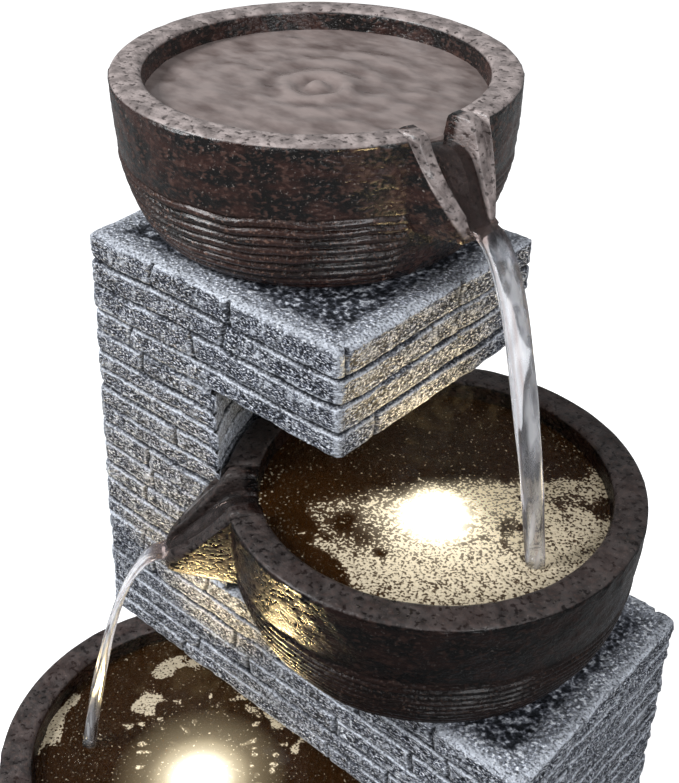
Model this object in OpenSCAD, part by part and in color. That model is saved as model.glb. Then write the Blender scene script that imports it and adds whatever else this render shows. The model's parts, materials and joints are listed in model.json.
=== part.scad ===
// Tabletop water fountain: three bowls stepping down a stacked-stone tower into a basin.
// Millimetres, +Z up, front towards -Y, origin under the middle of the whole fountain.

/* [Basin] */
// Width of the basin, left to right
basin_w = 190; // [186:1:210]
// How far the basin reaches in front of the origin
basin_front = 98; // [98:1:110]
// Height of the basin's rim above the table
basin_h = 45; // [40:1:45]
// Thickness of the rubber feet
foot_h = 3; // [2:0.5:4]

/* [Tower] */
// Height of the top block's upper face
tower_h = 250; // [248:1:256]
// Depth of the tower, front to back
tower_d = 83; // [82:1:84]
// Height of the top block
top_block_h = 33; // [30:1:36]
// Width of the top block at its upper face
top_block_w = 96; // [94:1:98]
// Height of the middle block
middle_block_h = 46; // [44:1:48]
// Width of the middle block
middle_block_w = 172; // [170:1:174]
// Wall thickness of the tower castings
wall = 4; // [3.5:0.5:4.5]

/* [Bowls] */
// Outer radius of the top bowl
top_bowl_r = 56; // [54:0.5:57]
// Outer radius of the middle bowl
middle_bowl_r = 60; // [58:0.5:61]
// Outer radius of the lower bowl
lower_bowl_r = 63; // [61:0.5:63.5]
// Bowl height as a share of its outer radius
bowl_rise = 0.805; // [0.79:0.005:0.81]
// Inner rim radius as a share of the outer radius
rim_ratio = 0.841; // [0.82:0.005:0.86]

/* [Water works] */
// Outer diameter of the riser hose
hose_d = 9.4; // [9.2:0.1:9.8]
// Outer diameter of the electric leads
lead_d = 3; // [2.5:0.1:3.2]
// Radius of the impeller's shaft
shaft_r = 1; // [0.9:0.05:1.2]
// Number of impeller blades
blade_count = 6; // [4:1:8]

/* [Hidden] */

$fn = 48;
far = 400;
fit = 0.1; // clearance of a fitting's hole over the fitting

// Tower: its front face, its right-hand faces and its sloping left-hand face
tower_y0 = -10;
tower_y1 = tower_y0 + tower_d;
tower_right = 85;
top_block_right = 20;
left_low = tower_right - middle_block_w;
left_high = top_block_right - top_block_w;
top_block_z = tower_h - top_block_h;
middle_bowl_z = 143.4;
middle_block_z = middle_bowl_z - middle_block_h;
basin_back = tower_y1 + 5;
basin_wall = 5;
floor_z = foot_h + 4;
lower_column_y0 = 34;
plate = 5;

// Bowls: centre of each base and height of each bowl
top_bowl_at = [-35, 42, tower_h];
middle_bowl_at = [23.5, 28, middle_bowl_z];
lower_bowl_at = [-19.5, -30, 44.5];
recess_r = 62;
pedestal_r = 38;
bowl_foot = 0.771;
bowl_floor = 9;

// Spouts: direction, reach as a share of the bowl's radius, and height of the channel's tip over the base
top_spout = [-11, 1.21, 22];
middle_spout = [227.5, 1.3, 26];
lower_spout = [-32, 1.28, 27];
spout_root_w = 24;
spout_tip_w = 12;
channel_root_w = 13;
channel_tip_w = 8;
channel_depth = 7;

// Nozzle in the top bowl, and the hose that feeds it
nozzle_r = 6;
nozzle_bore_r = 2.4;
nozzle_top = 20;
spigot_r = 3.3;
flange_r = 10;
hose_bore_r = 3.6;
hose_route = [[-56, 53, 41], [-56, 53, 60], [-58, 53, 95], [-60, 52, 135], [-60, 52, 175], [-57, 50, 195],
    [-51, 48, 210], [-46, 46, 220], [-39, 43.5, 229], [-35, 42, 234.5], [-35, 42, 239]];

// Underwater lights: a stem runs down through each bowl and the wall under it
led_r = 11;
led_stem_r = 4;
led_wall = 1.5;
led_h = 9;
dome_r = 14;
dome_top = bowl_floor + 14;
chip_w = 2.4;
stem_below_wall = 10;

// Pump: its axis runs along X through [pump_y, pump_z]
pump_y = 53;
pump_z = 24;
pump_half = 13;
cover_x0 = -66;
seal_x = -52;
body_x1 = -26;
outlet_x = -56;
volute_r = 11;
volute_x0 = -60;
rotor_bore_r = 8;
rotor_r = 7.4;
magnet_x0 = -51;
magnet_x1 = -35;
impeller_x0 = -59.3;
shaft_x0 = -63;
shaft_x1 = -31;
bush_r = 2.2;
bush_l = 2.5;
seal_outer_r = 12.4;
seal_inner_r = 11.2;
seal_t = 1;
intake_r = 2.4;
intake_at = 6.2;
running_gap = 0.05;

// Flow knob: a disc on a stud over the intake holes
knob_gap = 0.3;
knob_x1 = cover_x0 - knob_gap;
knob_x0 = knob_x1 - 3.2;
knob_r = 10.5;
stud_r = 2;

// Direct-current inlet in the back wall
jack_x = 60;
jack_z = 68;
jack_y0 = 58;
jack_barrel_r = 5.4;
socket_r = 2.9;
socket_y0 = 65;
pin_r = 1;

// Rear door and the opening it closes
door_x0 = -78;
door_x1 = -18;
door_z0 = 52;
door_z1 = 90;
door_gap = 0.5;
door_lip = 3;
door_t = 2.7;

// Splice block where the leads meet, on the inside of the back wall
splice_low = [14, 56, 62];
splice_high = [38, tower_y1 - wall, 74];

// Gates that let the water reach the pump
gate_w = 14;
gate_h = 10;

stone = "slategray";
bowl_colour = [0.23, 0.15, 0.12];
black = [0.08, 0.08, 0.09];

// Left-hand face of the tower at height z
function left_at(z) = left_low + (left_high - left_low) * (z - middle_block_z) / (tower_h - middle_block_z);

// Outer radius of a bowl of radius 1 at share t of its height
function bowl_curve(t) = bowl_foot + (1 - bowl_foot) * pow(1 - pow(1 - t, 2.62), 0.702);

// Inner radius of a bowl of radius 1 at share t of its inner depth
function inner_curve(t) = rim_ratio * (0.55 + 0.45 * pow(sin(90 * t), 0.6));

// Points of a ring across a path at point i
function along(path, i) = path[min(i + 1, len(path) - 1)] - path[max(i - 1, 0)];
function unit(v) = v / norm(v);
function side_of(d) = unit(cross(d, abs(d.x) < 0.6 * norm(d) ? [1, 0, 0] : [0, 1, 0]));
function ring(path, i, r, sides) = let (d = unit(along(path, i)), u = side_of(d), v = cross(d, u))
    [for (k = [0:sides - 1]) path[i] + r * (u * cos(360 * k / sides) + v * sin(360 * k / sides))];

// Smooth route through hand-placed points (Catmull-Rom)
function spline_at(a, b, c, d, t) = 0.5 * ((2 * b) + (c - a) * t + (2 * a - 5 * b + 4 * c - d) * t * t
    + (3 * b - a - 3 * c + d) * t * t * t);
function smooth(p, steps) = concat(
    [for (i = [0:len(p) - 2]) for (s = [0:steps - 1])
        spline_at(p[max(i - 1, 0)], p[i], p[i + 1], p[min(i + 2, len(p) - 1)], s / steps)],
    [p[len(p) - 1]]);

// A cable along a route
module cable(path, r, sides = 8) {
    n = len(path);
    polyhedron(
        points = [for (i = [0:n - 1]) each ring(path, i, r, sides)],
        faces = concat(
            [for (i = [0:n - 2]) for (k = [0:sides - 1])
                [i * sides + k, (i + 1) * sides + k, (i + 1) * sides + (k + 1) % sides,
                    i * sides + (k + 1) % sides]],
            [[for (k = [0:sides - 1]) k]],
            [[for (k = [sides - 1:-1:0]) (n - 1) * sides + k]]));
}

// A hollow hose along a route
module hose(path, outer, inner, sides = 12) {
    n = len(path);
    m = n * sides;
    polyhedron(
        points = concat([for (i = [0:n - 1]) each ring(path, i, outer, sides)],
            [for (i = [0:n - 1]) each ring(path, i, inner, sides)]),
        faces = concat(
            [for (i = [0:n - 2]) for (k = [0:sides - 1]) let (k2 = (k + 1) % sides)
                [i * sides + k, (i + 1) * sides + k, (i + 1) * sides + k2, i * sides + k2]],
            [for (i = [0:n - 2]) for (k = [0:sides - 1]) let (k2 = (k + 1) % sides)
                [m + i * sides + k, m + i * sides + k2, m + (i + 1) * sides + k2, m + (i + 1) * sides + k]],
            [for (k = [0:sides - 1]) let (k2 = (k + 1) % sides) [k, k2, m + k2, m + k]],
            [for (k = [0:sides - 1]) let (k2 = (k + 1) % sides, e = (n - 1) * sides)
                [e + k, m + e + k, m + e + k2, e + k2]]));
}

// A box between two corners
module block(low, high) {
    translate(low)
        cube(high - low);
}

// An outline in the XZ plane, extruded from y0 to y1
module front_outline(points, y0, y1) {
    translate([0, y1, 0])
        rotate([90, 0, 0])
            linear_extrude(y1 - y0)
                polygon(points);
}

// A tower casting between two heights; grow is negative for its inside
module casting(x1, z0, z1, grow = 0) {
    front_outline([[left_at(z0) - grow, z0], [x1 + grow, z0], [x1 + grow, z1], [left_at(z1) - grow, z1]],
        tower_y0 - grow, tower_y1 + grow);
}

// A cylinder along X between two stations
module along_x(x0, x1, r) {
    translate([x0, pump_y, pump_z])
        rotate([0, 90, 0])
            cylinder(r = r, h = x1 - x0);
}

// A cylinder along Y between two stations
module along_y(x, z, y0, y1, r) {
    translate([x, y1, z])
        rotate([90, 0, 0])
            cylinder(r = r, h = y1 - y0);
}

// A ring round the vertical axis
module washer(outer, inner, z0, z1) {
    difference() {
        translate([0, 0, z0])
            cylinder(r = outer, h = z1 - z0);
        translate([0, 0, z0 - 1])
            cylinder(r = inner, h = z1 - z0 + 2);
    }
}

// Half outline of a bowl, closed at the axis
module bowl_outline(r) {
    h = bowl_rise * r;
    depth = h - bowl_floor;
    steps = 10;
    polygon(concat(
        [[0, 0]],
        [for (i = [0:steps]) [r * bowl_curve(i / steps), h * i / steps]],
        [for (i = [steps:-1:0]) [r * inner_curve(i / steps), bowl_floor + depth * i / steps]],
        [[0, bowl_floor]]));
}

// A side view extruded across a spout and narrowed in plan from the root's width to the tip's
module tapered_wedge(r, tip, root_w, tip_w, high, side_view) {
    intersection() {
        front_outline(side_view, -root_w, root_w);
        linear_extrude(high)
            polygon([[0, -root_w / 2], [0.9 * r, -root_w / 2], [tip, -tip_w / 2],
                [tip, tip_w / 2], [0.9 * r, root_w / 2], [0, root_w / 2]]);
    }
}

// A bowl with its spout and a hole for its fitting
module bowl(r, at, spout, hole_r) {
    h = bowl_rise * r;
    angle = spout[0];
    tip = spout[1] * r;
    tip_z = spout[2];
    translate(at)
        difference() {
            union() {
                rotate_extrude($fn = 96)
                    bowl_outline(r);
                rotate([0, 0, angle])
                    tapered_wedge(r, tip, spout_root_w, spout_tip_w, h,
                        [[0.88 * r, h], [r, h], [tip - 0.05 * r, tip_z + 8], [tip, tip_z + 3],
                            [tip, tip_z - 1.5], [tip - 0.05 * r, tip_z - 3], [0.9 * r, tip_z - 4]]);
            }
            rotate([0, 0, angle])
                tapered_wedge(r, tip + 1, channel_root_w, channel_tip_w, h + 1,
                    [[0.6 * r, h + 1], [0.6 * r, h - channel_depth], [0.86 * r, h - channel_depth],
                        [tip + 1, tip_z], [tip + 1, h + 1]]);
            translate([0, 0, -1])
                cylinder(r = hole_r, h = bowl_floor + 2);
        }
}

// Basin: one watertight casting with thick walls
module base_basin() {
    color(stone)
        difference() {
            block([-basin_w / 2, -basin_front, foot_h], [basin_w / 2, basin_back, basin_h]);
            block([-basin_w / 2 + basin_wall, -basin_front + basin_wall, floor_z],
                [basin_w / 2 - basin_wall, basin_back - basin_wall, basin_h + 1]);
        }
}

// Feet under the basin's corners
module base_feet() {
    inset = 13;
    color(black)
        for (x = [-1, 1], y = [-basin_front + inset, basin_back - inset])
            translate([x * (basin_w / 2 - inset), y, 0])
                cylinder(r = 7, h = foot_h);
}

// Hollow pedestal that carries the lower bowl, with a water gate at its foot
module bowl_pedestal() {
    top = lower_bowl_at.z;
    color(stone)
        difference() {
            translate([lower_bowl_at.x, lower_bowl_at.y, floor_z])
                cylinder(r = pedestal_r, h = top - floor_z);
            translate([lower_bowl_at.x, lower_bowl_at.y, floor_z - 1])
                cylinder(r = pedestal_r - wall, h = top - floor_z - wall + 1);
            translate([lower_bowl_at.x, lower_bowl_at.y, 0])
                cylinder(r = led_stem_r + 2 * fit, h = far);
            block([-22, 0, floor_z - 1], [4, 12, floor_z + gate_h]);
        }
}

// Lower column: the pump's compartment, behind the lower bowl
module lower_column() {
    color(stone)
        difference() {
            block([left_low, lower_column_y0, floor_z], [tower_right, tower_y1, middle_block_z]);
            block([left_low + wall, lower_column_y0 + wall, floor_z - 1],
                [tower_right - wall, tower_y1 - wall, middle_block_z + 1]);
            for (x = [-50, 10, 60])
                block([x - gate_w / 2, lower_column_y0 - 1, floor_z - 1],
                    [x + gate_w / 2, lower_column_y0 + wall + 1, floor_z + gate_h]);
            block([door_x0, tower_y1 - wall - 1, door_z0], [door_x1, tower_y1 + 1, door_z1]);
            along_y(jack_x, jack_z, tower_y1 - wall - 1, tower_y1 + 1, jack_barrel_r + fit);
        }
}

// Rear door: a plate with a plug frame and a finger ridge
module rear_door() {
    y0 = tower_y1 + 0.3;
    plug_y = tower_y1 - wall + 0.5;
    frame_w = 2;
    color(stone)
        difference() {
            union() {
                block([door_x0 - door_lip, y0, door_z0 - door_lip],
                    [door_x1 + door_lip, y0 + door_t, door_z1 + door_lip]);
                block([door_x0 + door_gap, plug_y, door_z0 + door_gap],
                    [door_x1 - door_gap, y0 + 1, door_z1 - door_gap]);
                block([-56, y0 + 2, door_z1 - 8], [-40, y0 + 5.5, door_z1 - 4]);
            }
            block([door_x0 + door_gap + frame_w, plug_y - 1, door_z0 + door_gap + frame_w],
                [door_x1 - door_gap - frame_w, y0, door_z1 - door_gap - frame_w]);
        }
}

// Middle block: a wide hollow casting that carries the column and the middle bowl
module middle_block() {
    color(stone)
        difference() {
            casting(tower_right, middle_block_z, middle_bowl_z);
            casting(tower_right, middle_block_z + wall, middle_bowl_z - plate, -wall);
            block([left_low + 2 * wall, lower_column_y0 + wall, middle_block_z - 1],
                [tower_right - 2 * wall, tower_y1 - wall, middle_block_z + wall + 1]);
            intersection() {
                block([left_low + 3 * wall, tower_y0 + wall, middle_bowl_z - plate - 1],
                    [middle_bowl_at.x - recess_r / 2, tower_y1 - wall, middle_bowl_z + 1]);
                column_void();
            }
            translate([middle_bowl_at.x, middle_bowl_at.y, middle_bowl_z - plate - 1])
                cylinder(r = led_stem_r + 2 * fit, h = plate + 2);
        }
}

// The hollow inside the column, clear of the bowl's recess by one wall
module column_void() {
    difference() {
        casting(top_block_right, middle_block_z, tower_h, -wall);
        translate([middle_bowl_at.x, middle_bowl_at.y, 0])
            cylinder(r = recess_r + wall, h = far, $fn = 96);
    }
}

// Column: its right-hand side is hollowed round the middle bowl
module column() {
    color(stone)
        difference() {
            casting(top_block_right, middle_bowl_z, top_block_z);
            translate([middle_bowl_at.x, middle_bowl_at.y, 0])
                cylinder(r = recess_r, h = far, $fn = 96);
            column_void();
        }
}

// Top block: it carries the top bowl and overhangs the middle one
module top_block() {
    color(stone)
        difference() {
            casting(top_block_right, top_block_z, tower_h);
            casting(top_block_right, top_block_z + wall, tower_h - plate, -wall);
            intersection() {
                block([left_low, tower_y0, top_block_z - 1], [0, tower_y1, top_block_z + wall + 1]);
                column_void();
            }
            translate([top_bowl_at.x, top_bowl_at.y, tower_h - plate - 1])
                cylinder(r = nozzle_r + 2 * fit, h = plate + 2);
        }
}

module top_bowl() {
    color(bowl_colour)
        bowl(top_bowl_r, top_bowl_at, top_spout, nozzle_r + fit);
}

module middle_bowl() {
    color(bowl_colour)
        bowl(middle_bowl_r, middle_bowl_at, middle_spout, led_stem_r + fit);
}

module lower_bowl() {
    color(bowl_colour)
        bowl(lower_bowl_r, lower_bowl_at, lower_spout, led_stem_r + fit);
}

// Nozzle: a tube with a flange in the bowl and a spigot for the hose
module outlet_nozzle() {
    color(black)
        translate(top_bowl_at)
            difference() {
                union() {
                    translate([0, 0, -10])
                        cylinder(r = nozzle_r, h = nozzle_top + 10);
                    translate([0, 0, bowl_floor + 1])
                        cylinder(r = flange_r, h = 3);
                    translate([0, 0, -16])
                        cylinder(r = spigot_r, h = 7);
                }
                translate([0, 0, -17])
                    cylinder(r = nozzle_bore_r, h = far);
            }
}

module nozzle_nut() {
    color(black)
        translate(top_bowl_at)
            difference() {
                translate([0, 0, -plate - 4])
                    cylinder(r = 9.5, h = 4, $fn = 6);
                translate([0, 0, -plate - 5])
                    cylinder(r = nozzle_r, h = 6);
            }
}

module nozzle_gasket() {
    color("dimgray")
        translate(top_bowl_at)
            washer(9.5, nozzle_r, bowl_floor, bowl_floor + 1);
}

// Riser hose: from the pump's outlet up inside the tower to the nozzle
module riser_hose() {
    color([0.85, 0.87, 0.85])
        hose(smooth(hose_route, 4), hose_d / 2, hose_bore_r);
}

module hose_clip() {
    color("silver")
        translate([outlet_x, pump_y, 0])
            washer(hose_d / 2 + 1, hose_d / 2 + 0.02, 42.5, 45.5);
}

// Underwater light: a housing on a hollow stem, a board, a lens, a gasket, and a nut under the wall below
module led_housing(at, under) {
    color(black)
        translate(at)
            difference() {
                union() {
                    translate([0, 0, bowl_floor + 1])
                        cylinder(r = led_r, h = led_h);
                    translate([0, 0, -under - stem_below_wall])
                        cylinder(r = led_stem_r, h = under + stem_below_wall + bowl_floor + 2);
                }
                translate([0, 0, bowl_floor + 4])
                    cylinder(r = led_r - led_wall, h = led_h);
                translate([0, 0, -under - stem_below_wall - 1])
                    cylinder(r = lead_d / 2 + 3 * fit, h = far);
            }
}

module led_lens(at) {
    color([1, 0.95, 0.8, 0.6])
        translate(at)
            intersection() {
                translate([0, 0, bowl_floor + 7])
                    cylinder(r = led_r - led_wall - fit, h = 8);
                translate([0, 0, dome_top - dome_r])
                    sphere(r = dome_r);
            }
}

module led_board(at) {
    color("seagreen")
        translate(at) {
            translate([0, 0, bowl_floor + 4])
                cylinder(r = led_r - led_wall - 2 * fit, h = 1.4);
            for (k = [0:5])
                rotate([0, 0, 60 * k])
                    translate([4, -chip_w / 2, bowl_floor + 5.4])
                        cube([chip_w, chip_w, 1]);
        }
}

module led_gasket(at) {
    color("dimgray")
        translate(at)
            washer(flange_r, led_stem_r, bowl_floor, bowl_floor + 1);
}

module led_nut(at, under) {
    color(black)
        translate(at)
            difference() {
                translate([0, 0, -under - 4])
                    cylinder(r = 7.5, h = 4, $fn = 6);
                translate([0, 0, -under - 5])
                    cylinder(r = led_stem_r, h = 6);
            }
}

// Pump: a square motor body with a round rotor chamber, and a volute cover with the outlet
module pump_body() {
    color(black)
        difference() {
            block([seal_x, pump_y - pump_half, pump_z - pump_half],
                [body_x1, pump_y + pump_half, pump_z + pump_half]);
            along_x(seal_x - 1, magnet_x1 + 1, rotor_bore_r);
            along_x(magnet_x1, shaft_x1, bush_r);
            difference() {
                along_x(seal_x - 1, seal_x + seal_t, seal_outer_r);
                along_x(seal_x - 2, seal_x + seal_t + 1, seal_inner_r);
            }
        }
}

module pump_cover() {
    color(black)
        difference() {
            union() {
                along_x(cover_x0, seal_x, pump_half);
                along_x(knob_x0 - knob_gap, cover_x0, stud_r);
                translate([outlet_x, pump_y, pump_z])
                    cylinder(r = spigot_r, h = 27);
            }
            along_x(volute_x0, seal_x + 1, volute_r);
            along_x(shaft_x0, volute_x0 + 1, bush_r);
            intake_holes(cover_x0 - 1, volute_x0 + 1);
            translate([outlet_x, pump_y, pump_z])
                cylinder(r = nozzle_bore_r, h = 40);
        }
}

// Four holes round the pump's axis
module intake_holes(x0, x1) {
    for (a = [45:90:315])
        translate([0, intake_at * cos(a), intake_at * sin(a)])
            along_x(x0, x1, intake_r);
}

module volute_seal() {
    color("dimgray")
        difference() {
            along_x(seal_x, seal_x + seal_t, seal_outer_r);
            along_x(seal_x - 1, seal_x + seal_t + 1, seal_inner_r);
        }
}

module pump_cups() {
    color("dimgray")
        for (x = [seal_x + 5, body_x1 - 5], y = [pump_y - 8, pump_y + 8])
            translate([x, y, floor_z])
                cylinder(r1 = 4.5, r2 = 2.5, h = pump_z - pump_half - floor_z);
}

module impeller_shaft() {
    color("white")
        along_x(shaft_x0, shaft_x1, shaft_r);
}

module shaft_bushes() {
    color("dimgray")
        for (x = [shaft_x0, shaft_x1 - bush_l])
            difference() {
                along_x(x, x + bush_l, bush_r);
                along_x(x - 1, x + bush_l + 1, shaft_r);
            }
}

module impeller() {
    color("white")
        difference() {
            union() {
                along_x(impeller_x0, magnet_x0, 3);
                along_x(magnet_x0 - 2, magnet_x0, rotor_r);
                for (k = [1:blade_count])
                    translate([impeller_x0, pump_y, pump_z])
                        rotate([360 * k / blade_count, 0, 0])
                            translate([0, -0.6, 2])
                                cube([6.3, 1.2, 7.5]);
            }
            along_x(impeller_x0 - 1, magnet_x0 + 1, shaft_r + running_gap);
        }
}

module rotor_magnet() {
    color("darkslategray")
        difference() {
            along_x(magnet_x0, magnet_x1, rotor_r);
            along_x(magnet_x0 - 1, magnet_x1 + 1, shaft_r + running_gap);
        }
}

// Flow knob: a shutter disc that turns on a stud over the intake holes, kept on by a cap
module flow_knob() {
    color("darkgray")
        difference() {
            union() {
                along_x(knob_x0, knob_x1, knob_r);
                block([knob_x0, pump_y - 2, pump_z + 9], [knob_x1, pump_y + 2, pump_z + 14.5]);
            }
            along_x(knob_x0 - 1, knob_x1 + 1, stud_r + running_gap);
            intake_holes(knob_x0 - 1, knob_x1 + 1);
        }
}

module knob_cap() {
    color("silver")
        along_x(knob_x0 - knob_gap - 1.2, knob_x0 - knob_gap, 3.6);
}

// Leads: round routes inside the castings, meeting at the splice block
module splice_block() {
    color(black)
        block(splice_low, splice_high);
}

module pump_lead() {
    color(black)
        cable(smooth([[-25.9, 53, 24], [-16, 53, 25], [0, 54, 32], [12, 58, 46], [18, 60, 55],
            [18, 61, 61.9]], 4), lead_d / 2);
}

module middle_led_lead() {
    color(black)
        cable(smooth([[23.5, 28, 156.4], [23.5, 28, 140], [23.5, 28, 127], [24.5, 32, 116], [27, 42, 104],
            [30, 54, 92], [31, 60.5, 82], [31, 61, 74.1]], 4), lead_d / 2);
}

module lower_led_lead() {
    color(black)
        cable(smooth([[-19.5, -30, 57.5], [-19.5, -30, 42], [-19.5, -30, 29], [-18.5, -26, 19],
            [-14, -12, 11], [-6, 6, 9.5], [6, 24, 9.5], [10, 38, 10], [17, 50, 20], [25, 58, 42],
            [26, 61, 54], [26, 61, 61.9]], 4), lead_d / 2);
}

module jack_lead() {
    color(black)
        cable(smooth([[38.1, 61, 69], [45, 60, 69], [52, 55, 68.5], [58, 52, 68], [60, 54, 68],
            [60, 57.9, 68]], 4), lead_d / 2);
}

// Inlet: a panel socket with a centre pin, held by a nut inside the wall
module dc_jack_housing() {
    color(black)
        difference() {
            union() {
                along_y(jack_x, jack_z, jack_y0, tower_y1 + 1, jack_barrel_r);
                along_y(jack_x, jack_z, tower_y1, tower_y1 + 2, 7.5);
            }
            along_y(jack_x, jack_z, socket_y0, tower_y1 + 3, socket_r);
        }
}

module dc_jack_pin() {
    color("silver")
        along_y(jack_x, jack_z, socket_y0, tower_y1 + 0.5, pin_r);
}

module dc_jack_nut() {
    color("silver")
        difference() {
            translate([jack_x, tower_y1 - wall, jack_z])
                rotate([90, 0, 0])
                    cylinder(r = 8.5, h = 3, $fn = 6);
            along_y(jack_x, jack_z, 60, tower_y1, jack_barrel_r);
        }
}

base_basin();
base_feet();
bowl_pedestal();
lower_column();
rear_door();
middle_block();
column();
top_block();
top_bowl();
middle_bowl();
lower_bowl();
outlet_nozzle();
nozzle_nut();
nozzle_gasket();
riser_hose();
hose_clip();
led_housing(middle_bowl_at, plate);  // middle_led_housing
led_lens(middle_bowl_at);  // middle_led_lens
led_board(middle_bowl_at);  // middle_led_board
led_gasket(middle_bowl_at);  // middle_led_gasket
led_nut(middle_bowl_at, plate);  // middle_led_nut
led_housing(lower_bowl_at, wall);  // lower_led_housing
led_lens(lower_bowl_at);  // lower_led_lens
led_board(lower_bowl_at);  // lower_led_board
led_gasket(lower_bowl_at);  // lower_led_gasket
led_nut(lower_bowl_at, wall);  // lower_led_nut
pump_body();
pump_cover();
volute_seal();
pump_cups();
impeller_shaft();
shaft_bushes();
impeller();
rotor_magnet();
flow_knob();
knob_cap();
pump_lead();
middle_led_lead();
lower_led_lead();
jack_lead();
splice_block();
dc_jack_housing();
dc_jack_pin();
dc_jack_nut();
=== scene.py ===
"""Looks of a tabletop water fountain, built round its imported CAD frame. Blender metres, +Z up.

Shapes are worked out in millimetres with numpy and turned into metres when a mesh is made.
"""

import json
import math

import bpy
import numpy as np
from mathutils import Matrix, Vector


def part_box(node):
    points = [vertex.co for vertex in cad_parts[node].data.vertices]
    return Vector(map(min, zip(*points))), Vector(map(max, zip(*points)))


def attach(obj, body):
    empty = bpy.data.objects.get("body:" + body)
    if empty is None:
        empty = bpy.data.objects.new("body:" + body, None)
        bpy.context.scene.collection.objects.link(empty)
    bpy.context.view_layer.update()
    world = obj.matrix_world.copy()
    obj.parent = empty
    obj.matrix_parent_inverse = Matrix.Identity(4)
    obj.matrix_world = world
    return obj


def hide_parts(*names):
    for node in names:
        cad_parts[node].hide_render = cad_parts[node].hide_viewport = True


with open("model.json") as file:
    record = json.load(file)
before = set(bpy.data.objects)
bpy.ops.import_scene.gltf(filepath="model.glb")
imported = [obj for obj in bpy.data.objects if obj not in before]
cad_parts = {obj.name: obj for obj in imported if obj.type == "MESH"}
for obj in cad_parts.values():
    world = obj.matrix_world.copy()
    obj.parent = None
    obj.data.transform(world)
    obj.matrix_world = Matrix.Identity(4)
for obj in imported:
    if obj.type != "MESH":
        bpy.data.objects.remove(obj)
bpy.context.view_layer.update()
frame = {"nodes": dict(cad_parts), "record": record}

MM = 0.001
TOWER = "tower"
BOWL_RISE = 0.805          # bowl height over outer radius
BOWL_FLOOR = 9.0           # thickness under a bowl's inside
RIM_RATIO = 0.841          # inner rim radius over outer radius
WATER_DEPTH = 6.0          # water level below a rim
COURSE = 7.4               # usual height of a stone course
RECESS = 62.0              # radius of the column's hollow round the middle bowl
MIDDLE_SPOUT = 227.5       # direction of the middle bowl's spout, degrees
LAMP_LEAN = 15.0           # how far the light thrown upwards stands from a bowl's axis
GLOW_LEAN = (6.5, -7.0)    # the lit froth over a lamp sits this far to its right and front
DARK_WATER = (-8.0, -27.0)  # a gap in the middle bowl's froth, from the bowl's axis
JET_SPEED = 230.0          # speed of the water leaving a spout, mm/s
GRAVITY = 9810.0           # mm/s2
WATER_IOR = 1.33           # how strongly water bends light


def box_mm(node):
    """Lowest and highest corner of a CAD node, in millimetres."""
    low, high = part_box(node)
    return np.array(low) / MM, np.array(high) / MM


# ---------------------------------------------------------------- camera

LENS = 56.57
CAMERA_FROM_CORNER = Vector((0.1651, -0.1872, 0.1608))  # from the top block's near upper corner
AZIMUTH, ELEVATION, ROLL = (math.radians(a) for a in (41.36, 34.52, 0.63))


def add_camera():
    low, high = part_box("top_block")
    corner = Vector((high.x, low.y, high.z))
    back = Vector((math.sin(AZIMUTH) * math.cos(ELEVATION), -math.cos(AZIMUTH) * math.cos(ELEVATION),
                   math.sin(ELEVATION)))
    right = Vector((math.cos(AZIMUTH), math.sin(AZIMUTH), 0))
    up = back.cross(right)
    turned_right = math.cos(ROLL) * right + math.sin(ROLL) * up
    turned_up = -math.sin(ROLL) * right + math.cos(ROLL) * up
    camera = bpy.data.objects.new("camera", bpy.data.cameras.new("camera"))
    camera.data.lens = LENS
    camera.data.clip_start = 0.01
    camera.matrix_world = Matrix.Translation(corner + CAMERA_FROM_CORNER) @ Matrix(
        (turned_right, turned_up, back)).transposed().to_4x4()
    bpy.context.scene.collection.objects.link(camera)
    bpy.context.scene.camera = camera


add_camera()
bpy.context.scene.view_settings.view_transform = "Standard"


# ---------------------------------------------------------------- noise and meshes

def lattice(ix, iy, iz, seed):
    """A repeatable random number from 0 to 1 for each whole-number point."""
    h = (ix * 374761393 + iy * 668265263 + iz * 1103515245 + seed * 974634777) & 0xFFFFFFFF
    h = ((h ^ (h >> 13)) * 1274126177) & 0xFFFFFFFF
    return ((h ^ (h >> 16)) & 0xFFFFFF) / float(0xFFFFFF)


def noise(points, cell, seed):
    """Smooth noise from -1 to 1 at points, with bumps about one cell wide."""
    q = np.asarray(points, float) / cell
    whole = np.floor(q).astype(np.int64)
    f = q - whole
    f = f * f * (3 - 2 * f)
    total = 0
    for dx in (0, 1):
        for dy in (0, 1):
            for dz in (0, 1):
                weight = ((f[..., 0] if dx else 1 - f[..., 0]) * (f[..., 1] if dy else 1 - f[..., 1])
                          * (f[..., 2] if dz else 1 - f[..., 2]))
                corner = lattice(whole[..., 0] + dx, whole[..., 1] + dy, whole[..., 2] + dz, seed)
                total = total + weight * corner
    return total * 2 - 1


def rough(points, cell, seed, octaves=3):
    """Noise in several sizes, each half as wide and half as strong as the last."""
    return sum(noise(points, cell / 2 ** k, seed + k) / 2 ** k for k in range(octaves))


def smoothstep(low, high, x):
    t = np.clip((x - low) / (high - low), 0, 1)
    return t * t * (3 - 2 * t)


def strip_faces(rows, cols):
    """Quads between rows of a grid whose columns go all the way round."""
    r = np.arange(rows - 1)[:, None] * cols
    c = np.arange(cols)[None, :]
    n = (c + 1) % cols
    return np.stack([r + c, r + n, r + cols + n, r + cols + c], -1).reshape(-1, 4).tolist()


def closed_faces(rows, cols):
    """The same quads, with one face over each end."""
    faces = strip_faces(rows, cols)
    faces.append(list(range(cols))[::-1])
    faces.append([(rows - 1) * cols + c for c in range(cols)])
    return faces


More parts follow.
